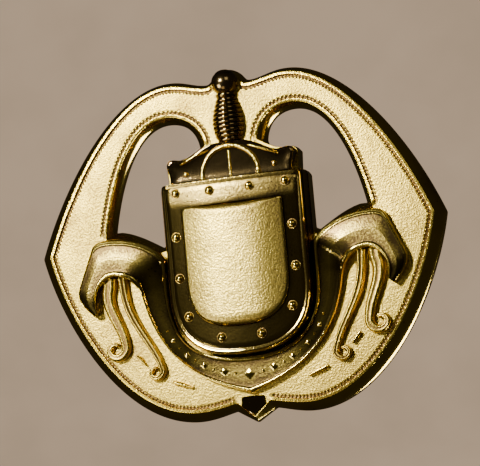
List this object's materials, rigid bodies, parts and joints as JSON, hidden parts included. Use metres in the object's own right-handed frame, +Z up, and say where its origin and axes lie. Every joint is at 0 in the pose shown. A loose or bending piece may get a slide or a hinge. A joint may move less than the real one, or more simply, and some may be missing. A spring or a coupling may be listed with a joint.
{
  "type": "cap badge",
  "caption": "Gilt cap badge: an open W-shaped ring with a sword, riveted shield and curled scroll, held by two threaded posts, a clamp plate and thumb nuts.",
  "frame": {"origin": "seat on the cap: middle of the badge on the plane of the ring's back rim, level with the ring's two side points", "axes": "+Z up along the sword, the face looks towards -Y, the posts and nuts run back along +Y"},
  "size_m": [0.045, 0.0129, 0.0383],
  "materials": {
    "gilt_satin": "grained gilt with polished edges",
    "gilt_polished_dark": "polished gilt, toned dark in the hollows",
    "gilt_bright": "bright gilt, worn on the high spots",
    "post_brass": "threaded brass",
    "plate_brass": "rolled brass sheet, brushed",
    "nut_brass": "knurled brass"
  },
  "bodies": {
    "badge": {"ring_frame": "gilt_satin", "scroll_band": "gilt_satin", "scroll_ornament": "gilt_bright", "scroll_outer_tail_left": "gilt_satin", "scroll_outer_tail_right": "gilt_satin", "scroll_inner_tail_left": "gilt_satin", "scroll_inner_tail_right": "gilt_satin", "scroll_end_stubs": "gilt_satin", "shield_plate": "gilt_polished_dark", "shield_boss": "gilt_bright", "shield_rivets": "gilt_satin", "sword_pommel": "gilt_polished_dark", "sword_collar": "gilt_satin", "sword_grip": "gilt_polished_dark", "sword_guard": "gilt_polished_dark", "sword_guard_ridge": "gilt_bright", "sword_side_ring": "gilt_bright", "sword_ricasso": "gilt_satin", "quillon_studs": "gilt_bright", "sword_tip": "gilt_polished_dark", "post_left": "post_brass", "post_right": "post_brass"},
    "clamp_plate": {"clamp_plate": "plate_brass"},
    "washer_left": {"washer_left": "nut_brass"},
    "washer_right": {"washer_right": "nut_brass"},
    "nut_left": {"nut_left": "nut_brass"},
    "nut_right": {"nut_right": "nut_brass"}
  },
  "joints": [
    {"name": "plate_slide", "type": "slide", "parent": "badge", "child": "clamp_plate", "axis": [0, 1, 0], "range_m": [-0.002, 0]},
    {"name": "washer_left_slide", "type": "slide", "parent": "badge", "child": "washer_left", "axis": [0, 1, 0], "range_m": [0, 0.003]},
    {"name": "nut_left_turn", "type": "hinge", "parent": "washer_left", "child": "nut_left", "pos_m": [-0.0125, 0.0044, -0.0046], "axis": [0, 1, 0], "range_deg": [0, 2700]},
    {"name": "washer_right_slide", "type": "slide", "parent": "badge", "child": "washer_right", "axis": [0, 1, 0], "range_m": [0, 0.003]},
    {"name": "nut_right_turn", "type": "hinge", "parent": "washer_right", "child": "nut_right", "pos_m": [0.0125, 0.0044, -0.0046], "axis": [0, 1, 0], "range_deg": [0, 2700]}
  ],
  "couplings": [
    {"joint": "nut_left_turn", "follows": "washer_left_slide", "rad_per_m": 15708},
    {"joint": "nut_right_turn", "follows": "washer_right_slide", "rad_per_m": 15708}
  ]
}
